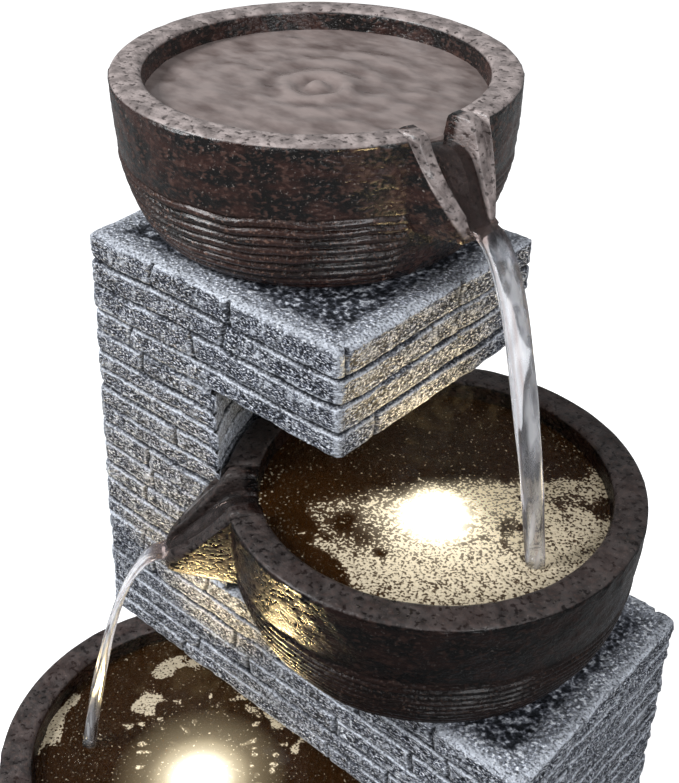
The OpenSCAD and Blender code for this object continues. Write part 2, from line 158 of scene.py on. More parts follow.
def make_mesh(name, points_mm, faces, material, mask=None):
    """A smooth-shaded object on the tower, from millimetre points. mask is a colour for each point."""
    mesh = bpy.data.meshes.new(name)
    mesh.from_pydata((np.asarray(points_mm) * MM).tolist(), [], faces)
    if mask is not None:
        layer = mesh.color_attributes.new("mask", "FLOAT_COLOR", "POINT")
        rgba = np.ones((len(points_mm), 4), np.float32)
        rgba[:, :3] = mask
        layer.data.foreach_set("color", rgba.ravel())
    mesh.polygons.foreach_set("use_smooth", [True] * len(mesh.polygons))
    mesh.materials.append(material)
    mesh.update()
    thing = bpy.data.objects.new(name, mesh)
    bpy.context.scene.collection.objects.link(thing)
    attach(thing, TOWER)
    return thing


def cut(thing, low, high):
    """Cuts a box out of an object. Corners in millimetres."""
    mesh = bpy.data.meshes.new("cutter")
    xs, ys, zs = zip(low, high)
    corners = [(x * MM, y * MM, z * MM) for x in xs for y in ys for z in zs]
    sides = [(0, 1, 3, 2), (4, 6, 7, 5), (0, 4, 5, 1), (2, 3, 7, 6), (0, 2, 6, 4), (1, 5, 7, 3)]
    mesh.from_pydata(corners, [], sides)
    cutter = bpy.data.objects.new("cutter", mesh)
    bpy.context.scene.collection.objects.link(cutter)
    step = thing.modifiers.new("cut", "BOOLEAN")
    step.operation = "DIFFERENCE"
    step.solver = "EXACT"
    step.object = cutter
    bpy.context.view_layer.update()
    result = bpy.data.meshes.new_from_object(thing.evaluated_get(bpy.context.evaluated_depsgraph_get()))
    thing.modifiers.remove(step)
    thing.data = result
    bpy.data.objects.remove(cutter)


# ---------------------------------------------------------------- materials

class Look:
    """A node material with one Principled shader, built by short calls. Sizes are in millimetres."""

    def __init__(self, name, roughness=0.5, metallic=0.0, specular=0.5, ior=None):
        self.material = bpy.data.materials.new(name)
        self.material.use_nodes = True
        self.nodes = self.material.node_tree.nodes
        self.shader = self.nodes["Principled BSDF"]
        self.set("Roughness", roughness)
        self.set("Metallic", metallic)
        self.set("Specular IOR Level", specular)
        if ior:
            self.set("IOR", ior)
        self.place = self.nodes.new("ShaderNodeTexCoord").outputs["Object"]

    def set(self, socket, value):
        """Puts a number, a colour or a node's output on one of the shader's sockets."""
        self.feed(self.shader, socket, value)

    def join(self, source, target):
        self.material.node_tree.links.new(source, target)

    def feed(self, node, socket, value):
        if isinstance(value, bpy.types.NodeSocket):
            self.join(value, node.inputs[socket])
        else:
            node.inputs[socket].default_value = value

    def stretched(self, scale):
        node = self.nodes.new("ShaderNodeMapping")
        node.inputs["Scale"].default_value = scale
        self.join(self.place, node.inputs["Vector"])
        return node.outputs["Vector"]

    def speckle(self, size, detail=3.0, stretch=None):
        node = self.nodes.new("ShaderNodeTexNoise")
        node.inputs["Scale"].default_value = 1 / (size * MM)
        node.inputs["Detail"].default_value = detail
        self.join(self.stretched(stretch) if stretch else self.place, node.inputs["Vector"])
        return node.outputs["Fac"]

    def cells(self, size, feature="F1"):
        node = self.nodes.new("ShaderNodeTexVoronoi")
        node.feature = feature
        node.inputs["Scale"].default_value = 1 / (size * MM)
        self.join(self.place, node.inputs["Vector"])
        return node.outputs["Distance"]

    def ramp(self, value, stops):
        """A colour or grey for each value; stops are (position, colour or grey)."""
        node = self.nodes.new("ShaderNodeValToRGB")
        self.join(value, node.inputs["Fac"])
        marks = node.color_ramp.elements
        while len(marks) < len(stops):
            marks.new(0.5)
        for mark, (position, colour) in zip(marks, stops):
            mark.position = position
            mark.color = (colour,) * 3 + (1,) if isinstance(colour, (int, float)) else (*colour, 1)
        return node.outputs["Color"]

    def mix(self, share, a, b, blend="MIX"):
        node = self.nodes.new("ShaderNodeMix")
        node.data_type = "RGBA"
        node.blend_type = blend
        self.feed(node, 0, share)
        for socket, value in ((6, a), (7, b)):
            self.feed(node, socket, value if isinstance(value, bpy.types.NodeSocket) else (*value, 1))
        return node.outputs[2]

    def calc(self, operation, a, b):
        node = self.nodes.new("ShaderNodeMath")
        node.operation = operation
        self.feed(node, 0, a)
        self.feed(node, 1, b)
        return node.outputs[0]

    def times(self, a, b):
        return self.calc("MULTIPLY", a, b)

    def plus(self, a, b):
        return self.calc("ADD", a, b)

    def most(self, a, b):
        return self.calc("MAXIMUM", a, b)

    def mask(self):
        """The three channels of the mesh's mask."""
        node = self.nodes.new("ShaderNodeAttribute")
        node.attribute_name = "mask"
        parts = self.nodes.new("ShaderNodeSeparateColor")
        self.join(node.outputs["Color"], parts.inputs["Color"])
        return parts.outputs[0], parts.outputs[1], parts.outputs[2]

    def bump(self, height, depth, strength=1.0):
        node = self.nodes.new("ShaderNodeBump")
        node.inputs["Distance"].default_value = depth * MM
        node.inputs["Strength"].default_value = strength
        self.join(height, node.inputs["Height"])
        self.join(node.outputs["Normal"], self.shader.inputs["Normal"])
        return self


def stone_look():
    """Cast stone, dry-brushed. Mask is (joint, brushed edge and painted highlight, coarse grain)."""
    look = Look("stacked_stone", roughness=0.62, specular=0.25)
    joint, edge, grain = look.mask()
    strokes = look.speckle(0.60, 3.0, (0.7, 0.7, 1.5))
    coarse = look.speckle(1.5, 4.0)
    crinkle = look.speckle(1.4, 5.0, (0.75, 0.75, 1.6))
    body = look.ramp(strokes, [(0.39, (0.003, 0.004, 0.007)), (0.46, (0.024, 0.029, 0.044)),
                               (0.52, (0.125, 0.140, 0.182)), (0.57, (0.42, 0.45, 0.53)),
                               (0.62, (0.93, 0.96, 1.0))])
    # The crinkle noise also darkens the colour in its hollows: painted shade laid over the bump it drives.
    body = look.mix(1.0, body, look.ramp(crinkle, [(0.36, 0.35), (0.44, 0.75), (0.52, 1.0)]), "MULTIPLY")
    dark_grain = look.ramp(coarse, [(0.42, (0.008, 0.010, 0.014)), (0.50, (0.045, 0.050, 0.064)),
                                    (0.57, (0.15, 0.16, 0.19)), (0.66, (0.52, 0.55, 0.60))])
    colour = look.mix(grain, body, dark_grain)
    broad = look.ramp(look.speckle(9, 5.0), [(0.35, 0.85), (0.65, 1.12)])
    colour = look.mix(1.0, colour, broad, "MULTIPLY")
    # Pale blue-grey on the stones' edges: dry-brushed paint, and a painted highlight where the upper edges
    # catch the light.
    brush_and_highlight = look.times(edge, look.ramp(look.speckle(0.7, 4.0), [(0.38, 0.25), (0.52, 1.0)]))
    colour = look.mix(brush_and_highlight, colour, (0.82, 0.87, 0.96))
    colour = look.mix(joint, colour, (0.006, 0.007, 0.010))
    look.set("Base Color", colour)
    height = look.plus(look.plus(strokes, coarse), look.times(crinkle, 2.6))
    return look.bump(height, 0.70).material


def plain_stone_look():
    """Cast stone for CAD nodes that carry no mask."""
    look = Look("cast_stone_plain", roughness=0.8, specular=0.3)
    fine = look.speckle(0.9, 4.0)
    look.set("Base Color", look.ramp(fine, [(0.32, (0.03, 0.036, 0.05)), (0.5, (0.15, 0.165, 0.2)),
                                            (0.7, (0.45, 0.47, 0.52))]))
    return look.bump(fine, 0.3).material


def bowl_look():
    """Glazed resin, near black with rust-brown wear. Mask is (painted rim reflection, ridges and channel,
    painted shade).
    """
    look = Look("bowl_resin")
    rim, ridged, painted_shade = look.mask()
    pits = look.speckle(1.3, 5.0, (0.8, 0.8, 1.3))
    blotch = look.speckle(8.0, 4.0, (0.7, 0.7, 1.6))
    flake = look.speckle(0.8, 2.0)
    upper = look.mix(look.ramp(blotch, [(0.46, 0.0), (0.60, 1.0)]),
                     (0.0045, 0.0036, 0.0036), (0.032, 0.012, 0.009))
    upper = look.mix(look.ramp(pits, [(0.54, 0.0), (0.62, 0.8)]), upper, (0.085, 0.042, 0.032))
    upper = look.mix(look.ramp(flake, [(0.66, 0.0), (0.74, 0.7)]), upper, (0.34, 0.29, 0.26))
    lower = look.mix(look.ramp(look.speckle(9.0, 3.0, (0.5, 0.5, 2.2)), [(0.36, 0.0), (0.62, 1.0)]),
                     (0.0060, 0.0034, 0.0028), (0.034, 0.013, 0.009))
    # Bright rust-brown flecks on the ridged band: partly flecks of the glaze, partly painted highlights for
    # glints on the ridges.
    lower = look.mix(look.ramp(flake, [(0.58, 0.0), (0.68, 0.7)]), lower, (0.20, 0.115, 0.085))
    # The third mask channel darkens the side as painted shade: in the ridge grooves and over bowls that
    # stand in shade.
    side = look.mix(painted_shade, look.mix(ridged, upper, lower), (0.002, 0.0016, 0.0016))
    # The rim's light grey is a painted reflection of the bright backdrop; the darker pits in it are the
    # glaze's own.
    top = look.mix(look.ramp(look.speckle(4.0, 5.0), [(0.40, 0.0), (0.60, 1.0)]), (0.19, 0.158, 0.150),
                   (0.39, 0.330, 0.315))
    top = look.mix(look.ramp(pits, [(0.36, 0.85), (0.44, 0.0)]), top, (0.025, 0.016, 0.014))
    look.set("Base Color", look.mix(rim, side, top))
    look.set("Roughness", look.ramp(look.plus(look.times(rim, 0.4), pits),
                                    [(0.36, 0.16), (0.58, 0.38), (0.95, 0.5)]))
    # Painted shade also dulls the gloss, so shaded parts reflect little.
    sheen = look.calc("SUBTRACT", 1.0, look.times(painted_shade, 0.85))
    look.set("Specular IOR Level", look.times(sheen, 0.42))
    look.set("Coat Weight", look.times(sheen, 0.26))
    look.set("Coat Roughness", 0.16)
    return look.bump(look.plus(pits, look.times(flake, 0.3)), 0.5).material


def moulded(name, colour, roughness=0.4, specular=0.5, grain=0.6, depth=0.03):
    """Moulded plastic or rubber with a fine spark-eroded grain and slight colour variation."""
    look = Look(name, roughness=roughness, specular=specular)
    tone = [c * 0.8 for c in colour], [min(c * 1.25, 1) for c in colour]
    look.set("Base Color", look.ramp(look.speckle(6.0, 2.0), [(0.35, tone[0]), (0.65, tone[1])]))
    return look.bump(look.speckle(grain, 2.0), depth).material


def metal(name, colour, roughness=0.28):
    """Plated or turned metal with fine brushing."""
    look = Look(name, metallic=1.0)
    brushed = look.speckle(0.5, 3.0, (1.0, 12.0, 1.0))
    look.set("Base Color", look.ramp(brushed, [(0.3, [c * 0.8 for c in colour]), (0.7, colour)]))
    look.set("Roughness", look.ramp(brushed, [(0.3, roughness * 0.8), (0.7, roughness * 1.3)]))
    return look.bump(brushed, 0.01).material


def lens_look():
    look = Look("led_lens", roughness=0.12)
    haze = look.speckle(1.5, 2.0)
    look.set("Base Color", look.ramp(haze, [(0.3, (1.0, 0.84, 0.55)), (0.7, (1.0, 0.93, 0.78))]))
    look.set("Emission Color", look.ramp(haze, [(0.3, (1.0, 0.80, 0.48)), (0.7, (1.0, 0.90, 0.70))]))
    look.set("Emission Strength", 5.0)
    return look.bump(haze, 0.02).material


STONE = stone_look()
PLAIN_STONE = plain_stone_look()
BOWL = bowl_look()


# ---------------------------------------------------------------- stacked stone

FREE = 5.0  # slack of a point that is on no corner


def rounded_rectangle(x0, y0, x1, y1, radii, step):
    """Points round a rectangle, anticlockwise from the front left. radii: front left, front right, back
    right, back left. Returns points, outward normals, the side (0 front, 1 right, 2 back, 3 left) of each
    point, and how far each may move inwards before a corner would fold over."""
    corners = [(x0, y0), (x1, y0), (x1, y1), (x0, y1)]
    inward = [(1, 1), (-1, 1), (-1, -1), (1, -1)]
    points, normals, sides, slack = [], [], [], []
    for k in range(4):
        (cx, cy), (ix, iy), r = corners[k], inward[k], radii[k]
        centre = np.array([cx + ix * r, cy + iy * r])
        for a in np.linspace(-180 + 90 * k, -90 + 90 * k, 5):
            n = np.array([math.cos(math.radians(a)), math.sin(math.radians(a))])
            points.append(centre + r * n)
            normals.append(n)
            sides.append(k if a > -135 + 90 * k else (k - 1) % 4)
            slack.append(0.9 * r)
        nxt = (k + 1) % 4
        n = np.array([(0, -1), (1, 0), (0, 1), (-1, 0)][k], float)
        start = points[-1]
        (ex, ey), (jx, jy), s = corners[nxt], inward[nxt], radii[nxt]
        end = np.array([ex + jx * s, ey + jy * s]) + s * n
        count = max(2, int(np.linalg.norm(end - start) / step))
        for t in np.arange(1, count) / count:
            points.append(start + (end - start) * t)
            normals.append(n)
            sides.append(k)
            slack.append(FREE)
    return np.array(points), np.array(normals), np.array(sides), np.array(slack)


def course_edges(z0, z1, seed, first=None):
    """Heights of the joints between courses, from z0 up to z1."""
    rng = np.random.default_rng(seed)
    count = max(1, round((z1 - z0) / COURSE))
    heights = rng.uniform(0.8, 1.2, count)
    if first:
        heights[-1] = first / COURSE
    return z0 + (z1 - z0) * np.concatenate([[0], np.cumsum(heights) / heights.sum()])


def relief(points, sides, along_side, z, edges, seed):
    """Relief of stacked stones at each point, in millimetres, and its joint mask and its mask of brushed
    edges with painted highlights.
    """
    course = np.clip(np.searchsorted(edges, z, side="right") - 1, 0, len(edges) - 2)
    below, above = z - edges[course], edges[course + 1] - z
    across = np.full(z.shape, 99.0)
    tone = np.zeros(z.shape)
    lean = np.zeros(z.shape)
    for c in range(len(edges) - 1):
        for side in range(4):
            here = (course == c) & (sides == side)
            if not here.any():
                continue
            rng = np.random.default_rng(seed * 1000 + c * 10 + side)
            joints = rng.uniform(-160, -130) + np.cumsum(rng.uniform(26, 92, 12))
            u = along_side[here] + 1.2 * noise(points[here], 5.0, seed + 3)
            gaps = u[:, None] - joints[None, :]
            across[here] = np.abs(gaps).min(1)
            stone = (gaps > 0).sum(1)
            tone[here] = rng.uniform(-1, 1, 14)[stone]
            lean[here] = rng.uniform(-1, 1, 14)[stone]
    flat_joint = np.exp(-(np.minimum(below, above) / 0.47) ** 2)
    upright_joint = 0.85 * np.exp(-(across / 0.55) ** 2)
    joint = np.minimum(1.25 * np.maximum(flat_joint, upright_joint), 1)
    height = edges[course + 1] - edges[course]
    bulge = 0.28 * tone + 0.3 * lean * (below / height - 0.5)
    chisel = 1 - np.abs(rough(points * [0.7, 0.7, 1.3], 4.2, seed + 5, 4))
    surface = 0.60 * (chisel - 0.6)
    # Edge mask: dry-brush on edges and chiselled high spots, with each stone's upper edge strongest as a
    # painted highlight of light from above.
    edge = np.maximum(np.exp(-((above - 0.95) / 0.38) ** 2), 0.45 * np.exp(-((below - 0.9) / 0.4) ** 2))
    edge = np.maximum(edge, 0.5 * np.exp(-((across - 1.2) / 0.5) ** 2)) * (1 - joint)
    edge = edge * smoothstep(-0.9, 0.1, noise(points, 9.0, seed + 9))
    edge = np.maximum(edge, 0.75 * smoothstep(0.91, 1.0, chisel) * (1 - joint))
    return bulge + surface - 1.1 * joint, joint, edge


def course_rows(edges):
    """Row heights that follow the joints closely and the stones' faces coarsely."""
    rows = []
    for low, high in zip(edges[:-1], edges[1:]):
        middle = np.linspace(low + 1.6, high - 1.6, max(3, int((high - low - 3.2) / 0.95) + 1))
        rows += [low, low + 0.4, low + 0.9, *middle, high - 0.9, high - 0.4]
    return np.array(rows + [edges[-1]])


def rounding(distance, radius):
    """How far an edge rounded to a radius lies inwards at a distance from its end."""
    return radius * (1 - np.sqrt(np.clip(1 - (1 - np.clip(distance / radius, 0, 1)) ** 2, 0, 1)))


def stone_wall(loop, edges, seed, left, round_top=1.4, round_bottom=1.2):
    """The sides of a casting: points and masks in rows from the bottom up. left(z) shifts its left end."""
    outline, normals, sides, slack = loop
    rows = course_rows(edges)
    z0, z1 = rows[0], rows[-1]
    inset = rounding(z1 - rows, round_top) + rounding(rows - z0, round_bottom)
    cols = len(outline)
    x, y = outline[:, 0], outline[:, 1]
    share = np.clip((x.min() + 40 - x) / 40, 0, 1)
    grid = np.zeros((len(rows), cols, 3))
    grid[..., 0] = x + share * left(rows)[:, None]
    grid[..., 1] = y
    grid[..., 2] = rows[:, None]
    along_side = np.where(sides % 2 == 0, x, y)[None, :].repeat(len(rows), 0)
    side_grid = sides[None, :].repeat(len(rows), 0)
    height, joint, edge = relief(grid, side_grid, along_side, grid[..., 2], edges, seed)
    inner = (rows > z0 + 0.5) & (rows < z1 - 0.5)
    along = grid * [1, 1, 0.2]
    wave = 0.55 * noise(along, 16.0, seed + 20) + 0.25 * noise(along, 6.0, seed + 21)
    grid[..., 2] += wave * inner[:, None]
    push = np.maximum(height - inset[:, None], -slack[None, :])
    grid[..., 0] += normals[:, 0] * push
    grid[..., 1] += normals[:, 1] * push
    # Corners and a block's rounded upper and lower edges get the brushed tone as well: dry-brush and
    # painted highlight.
    corner = np.abs(normals).max(1) < 0.98
    edge = np.maximum(edge, 0.55 * corner[None, :] * (1 - joint))
    edge[inset > 0.15] = np.maximum(edge[inset > 0.15], 0.7)
    joint[inset > 0.15] *= 0.25
    return grid, np.stack([joint, edge, np.zeros_like(edge)], -1)


def cap_rings(ring, count, depth, seed, end=0.02):
    """Rings from a rim towards its centre, with coarse grain inside a smoother border."""
    centre = (ring.min(0) + ring.max(0)) / 2
    half = (ring.max(0) - ring.min(0))[:2] / 2
    reach = half.min()
    rings, masks = [], []
    for t in np.linspace(0, 1, count + 1)[1:]:
        inset = reach * t * (1 - end)
        scale = np.array([1 - inset / half[0], 1 - inset / half[1]])
        points = ring.copy()
        points[:, :2] = centre[:2] + (ring[:, :2] - centre[:2]) * scale
        points[:, 2] = np.median(ring[:, 2])
        inside = smoothstep(3.0, 6.5, np.full(len(ring), inset) + 1.2 * noise(points, 4.0, seed))
        points[:, 2] += depth * inside * rough(points, 2.6, seed + 2, 2) - 0.25 * inside
        rings.append(points)
        masks.append(np.stack([0 * inside, 0.25 * (1 - inside), inside], -1))
    return rings, masks


def stone_block(name, loop, edges, seed, left=lambda z: 0 * z, top_rings=0, replaces=None, round_top=1.4,
                round_bottom=1.2):
    """A closed casting with stacked-stone sides."""
    grid, mask = stone_wall(loop, edges, seed, left, round_top, round_bottom)
    rows, cols = grid.shape[:2]
    points = [grid.reshape(-1, 3)]
    masks = [mask.reshape(-1, 3)]
    total = rows
    if top_rings:
        rings, ring_masks = cap_rings(grid[-1], top_rings, 0.35, seed + 40)
        points += rings
        masks += ring_masks
        total += len(rings)
    faces = closed_faces(total, cols)
    thing = make_mesh(name, np.concatenate(points), faces, STONE, np.concatenate(masks))
    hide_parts(*(replaces or [name]))
    return thing


SEED = 7
STEP = 0.75      # between points along a stone wall
CAP_RINGS = 44   # rings over a block's upper face
top_low, top_high = box_mm("top_block")
column_low, column_high = box_mm("column")
middle_low, middle_high = box_mm("middle_block")
tower_slope = (top_low[0] - middle_low[0]) / (top_low[2] - middle_low[2])


def left_shift(x_left):
    """How far the tower's left face at height z stands from x_left."""
    return lambda z: middle_low[0] + tower_slope * (z - middle_low[2]) - x_left


def column_loop():
    """Outline of the column: a rectangle whose right side is hollowed round the middle bowl."""
    bowl_x, bowl_y = bowl_axis("middle_bowl", MIDDLE_SPOUT)[:2]
    recess = RECESS
    y0, y1 = column_low[1], column_high[1]
    rect, normals, sides, slack = rounded_rectangle(column_low[0], y0, column_high[0] + 30, y1,
                                                    (3, 1, 1, 3), STEP)
    front_x = bowl_x - math.sqrt(recess ** 2 - (bowl_y - y0) ** 2)
    back_x = bowl_x - math.sqrt(recess ** 2 - (y1 - bowl_y) ** 2)
    a0 = math.atan2(y0 - bowl_y, front_x - bowl_x)
    a1 = math.atan2(y1 - bowl_y, back_x - bowl_x) - 2 * math.pi
    arc_angles = np.linspace(a0, a1, int(recess * abs(a1 - a0) / STEP))
    arc = np.stack([bowl_x + recess * np.cos(arc_angles), bowl_y + recess * np.sin(arc_angles)], -1)
    arc_normals = -np.stack([np.cos(arc_angles), np.sin(arc_angles)], -1)
    start = (sides == 0) & (rect[:, 0] < front_x - 0.5)
    rest = (sides == 2) & (rect[:, 0] < back_x - 0.5) | (sides == 3)
    points = np.concatenate([rect[start], arc, rect[rest]])
    return (points, np.concatenate([normals[start], arc_normals, normals[rest]]),
            np.concatenate([sides[start], np.full(len(arc), 1), sides[rest]]),
            np.concatenate([slack[start], np.full(len(arc), FREE), slack[rest]]))


def bowl_axis(node, angle):
    """Centre x, y, base z, outer radius and height of a bowl, from its box and its spout's direction."""
    low, high = box_mm(node)
    height = high[2] - low[2]
    r = height / BOWL_RISE
    x = high[0] - r if math.cos(math.radians(angle)) < 0 else low[0] + r
    return x, high[1] - r, low[2], r, height


# ---------------------------------------------------------------- bowls

def outer_curve(t):
    return 0.771 + 0.229 * (1 - (1 - t) ** 2.62) ** 0.702


def inner_curve(t):
    return RIM_RATIO * (0.55 + 0.45 * np.sin(np.pi / 2 * t) ** 0.6)


def bowl_section(r, h):
    """Outline of a bowl from its foot up the outside, over the rim and down to its floor's middle."""
    t = np.concatenate([[0, 0.012], np.linspace(0.03, 0.96, 122), [0.975]])
    outside = np.stack([r * outer_curve(t), h * t], -1)
    turn = np.radians(np.linspace(0, 90, 6))
    outer_lip = np.stack([r - 1.5 + 1.5 * np.cos(turn), h - 1.1 + 1.1 * np.sin(turn)], -1)
    flat = np.stack([np.linspace(r - 2.2, r * RIM_RATIO + 2.4, 8), np.full(8, h)], -1)
    inner_lip = np.stack([r * RIM_RATIO + 2.0 - 2.0 * np.sin(turn), h - 1.6 + 1.6 * np.cos(turn)], -1)
    s = np.linspace(0.93, 0, 34)
    inside = np.stack([r * inner_curve(s), BOWL_FLOOR + (h - BOWL_FLOOR) * s], -1)
    bottom = np.stack([np.linspace(r * inner_curve(0.0) - 1.5, 1.0, 8), np.full(8, BOWL_FLOOR)], -1)
    parts = [outside, outer_lip, flat, inner_lip, inside, bottom]
    return np.concatenate(parts), np.cumsum([len(p) for p in parts])


def spout_section(r, h, marks, tip, tip_z, floor_drop):
    """The same outline through the spout: under it to the tip, back along its upper edge, then down the
    inside. floor_drop is how far the channel lies below the lip at each column: 0 on a lip, 1 in the
    channel."""
    base, _ = bowl_section(r, h)
    out = np.repeat(base[None], len(floor_drop), 0)
    n_out, n_lip, _, n_inner, n_inside = marks[:5]
    under_t = 0.44
    t = base[:n_out, 1] / h
    leave = t > under_t
    s = (t[leave] - under_t) / (t[leave].max() - under_t)
    root_r, root_z = r * outer_curve(np.array(under_t)), h * under_t
    out[:, :n_out, 0][:, leave] = root_r + (tip - 1.0 - root_r) * smoothstep(0, 1, s) ** 0.8
    out[:, :n_out, 1][:, leave] = root_z + (tip_z - 2.2 - root_z) * s ** 0.7
    lip_tip, channel_tip = tip_z + 3.2, tip_z
    channel_root = h - WATER_DEPTH - 1.2
    front = np.linspace(0, 1, n_lip - n_out)
    top_at_tip = lip_tip + (channel_tip - lip_tip) * floor_drop
    out[:, n_out:n_lip, 0] = tip - 0.9 * np.abs(front - 0.45)[None, :] ** 2 * 3
    out[:, n_out:n_lip, 1] = (tip_z - 2.0) + (top_at_tip[:, None] - tip_z + 2.0) * front[None, :]
    back = np.linspace(0, 1, n_inner - n_lip + 1)[1:]
    lip_r = tip + (r * 0.865 - tip) * back
    rise = np.clip((tip - lip_r) / (tip - r * 0.985), 0, 1)
    lip_z = lip_tip + (h - lip_tip) * (0.62 * rise ** 0.85 + 0.38 * rise ** 2.6)
    channel_rise = np.clip((tip - lip_r) / (tip - r * 0.93), 0, 1)
    channel_z = channel_tip + (channel_root - channel_tip) * smoothstep(0, 1, channel_rise) ** 0.8
    out[:, n_lip:n_inner, 0] = lip_r
    out[:, n_lip:n_inner, 1] = lip_z + (channel_z - lip_z) * floor_drop[:, None]
    inside_top = out[:, n_inner - 1, 1]
    s = np.linspace(1, 0, n_inside - n_inner + 1)[1:]
    inside_z = BOWL_FLOOR + (np.minimum(inside_top, h)[:, None] - BOWL_FLOOR) * s[None, :]
    out[:, n_inner:n_inside, 1] = inside_z
    inside_t = np.clip((inside_z - BOWL_FLOOR) / (h - BOWL_FLOOR), 0, 1)
    out[:, n_inner:n_inside, 0] = r * inner_curve(inside_t)
    return out


def bowl_columns(r):
    """Angles round a bowl from its spout, closer together across the spout."""
    near = np.arange(-19, 19.01, 0.42) / r
    far = np.linspace(19.8 / r, 2 * math.pi - 19.8 / r, int((2 * math.pi * r - 40) / 1.35))
    return np.concatenate([near, far])


def make_bowl(node, angle, tip_ratio, tip_z, seed, rim_sheen, shade_darkening):
    """A pitted and ridged bowl whose spout grows out of its wall, as one closed mesh. The last two
    arguments set how strongly a painted reflection lightens its rim and painted shade darkens the rest."""
    x0, y0, z0, r, h = bowl_axis(node, angle)
    section, marks = bowl_section(r, h)
    angles = bowl_columns(r)
    lateral = np.where(np.cos(angles) > 0, np.sin(angles) * r, 99)
    tip = tip_ratio * r
    floor_drop = 1 - smoothstep(5.9, 7.3, np.abs(lateral))
    spout = spout_section(r, h, marks, tip, tip_z, floor_drop)
    share = 1 - smoothstep(10.2, 13.2, np.abs(lateral))[:, None]
    cols, rows = len(angles), len(section)
    radius = section[None, :, 0] * (1 - share) + spout[..., 0] * share
    height = section[None, :, 1] * (1 - share) + spout[..., 1] * share
    beyond = np.clip((radius - r) / (tip - r), 0, 1)
    narrow = 1 - 0.52 * beyond * share
    sideways = np.where(np.abs(lateral) < 90, lateral, 0)[:, None] * np.minimum(radius / r, 1) * narrow
    off_axis = np.minimum(np.abs(sideways), radius)
    forward = np.sqrt(np.maximum(np.minimum(radius, r) ** 2 - off_axis ** 2, 0))
    forward = forward + np.maximum(radius - r, 0)
    is_front = (np.abs(lateral) < 90)[:, None]
    px = np.where(is_front, forward, radius * np.cos(angles)[:, None])
    py = np.where(is_front, sideways, radius * np.sin(angles)[:, None])
    turn = math.radians(angle)
    points = np.stack([px * math.cos(turn) - py * math.sin(turn), px * math.sin(turn) + py * math.cos(turn),
                       height], -1)
    outward = np.stack([np.cos(angles + turn), np.sin(angles + turn), 0 * angles], -1)[:, None, :]

    index = np.arange(rows)[None, :].repeat(cols, 0)
    on_outside = index < marks[0]
    level = height / h
    waver = (0.38 * noise(points * [1, 1, 0.35], 17.0, seed)
             + 0.18 * noise(points * [1, 1, 0.5], 6.0, seed + 1))
    phase = height / 2.75 + waver
    ridge_zone = (smoothstep(0.02, 0.06, level) * (1 - smoothstep(0.52, 0.58, level + 0.02 * waver))
                  * on_outside * (1 - share))
    wave = np.abs(np.sin(np.pi * phase)) ** 0.55
    strength = 0.75 + 0.35 * noise(points, 13.0, seed + 4)
    bumps = ridge_zone * strength * (2.2 * wave - 1.3)
    skin = on_outside * (1 - ridge_zone) * 0.24 * rough(points, 4.0, seed + 6, 3)
    inner_skin = (index >= marks[3]) * 0.3 * rough(points, 5.0, seed + 8, 3)
    points = points + outward * (bumps + skin - inner_skin)[..., None] * (index < marks[4])[..., None]
    rim_zone = (index >= marks[0] + 2) & (index < marks[3] - 2)
    points[..., 2] += rim_zone * 0.14 * rough(points, 7.0, seed + 10, 3)
    points += [x0, y0, z0]

    in_channel = share * floor_drop[:, None]
    # Rim lightening here stands for a painted reflection, strongest on the top bowl.
    rim = rim_zone * (1 - 0.72 * in_channel) * (1 - 0.2 * share) * rim_sheen
    # Grooves between the ridges, and the whole of a bowl that stands in shade, are darkened as painted
    # shade.
    groove_shade = ridge_zone * np.clip(1 - wave / 0.80, 0, 1)
    worn = np.maximum(ridge_zone, in_channel * rim_zone)
    mask = np.stack([rim, worn, np.maximum(groove_shade, shade_darkening * np.ones_like(groove_shade))], -1)
    grid = points.transpose(1, 0, 2).reshape(-1, 3)
    mask = mask.transpose(1, 0, 2).reshape(-1, 3)
    thing = make_mesh(node + "_glazed", grid, closed_faces(rows, cols), BOWL, mask)
    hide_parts(node)
    return {"x": x0, "y": y0, "z": z0, "r": r, "h": h, "angle": turn, "tip": tip, "tip_z": tip_z,
            "level": z0 + h - WATER_DEPTH}


top = make_bowl("top_bowl", angle=-11, tip_ratio=1.21, tip_z=22, seed=31, rim_sheen=1.0, shade_darkening=0.12)
middle = make_bowl("middle_bowl", angle=MIDDLE_SPOUT, tip_ratio=1.3, tip_z=26, seed=53, rim_sheen=0.13,
                   shade_darkening=0.74)
lower = make_bowl("lower_bowl", angle=-32, tip_ratio=1.28, tip_z=27, seed=77, rim_sheen=0.16, shade_darkening=0.6)


# ---------------------------------------------------------------- tower and basin

top_edges = course_edges(top_low[2], top_high[2], SEED, first=8.6)
column_edges = course_edges(column_low[2], column_high[2], SEED + 1)
middle_edges = course_edges(middle_low[2], middle_high[2], SEED + 2)

top_loop = rounded_rectangle(middle_low[0], top_low[1], top_high[0], top_high[1],
                             (3.5, 2.2, 2.2, 3.5), STEP)
middle_loop = rounded_rectangle(middle_low[0], middle_low[1], middle_high[0], middle_high[1],
                                (3.5, 2.4, 2.4, 3.5), STEP)
stone_block("top_block_stone", top_loop, top_edges, SEED, left_shift(middle_low[0]), top_rings=CAP_RINGS,
            replaces=["top_block"])
stone_block("column_stone", column_loop(), column_edges, SEED + 1, left_shift(column_low[0]),
            replaces=["column"], round_top=0.5, round_bottom=0.5)
stone_block("middle_block_stone", middle_loop, middle_edges, SEED + 2, left_shift(middle_low[0]),
            top_rings=CAP_RINGS, replaces=["middle_block"], round_bottom=2.5)


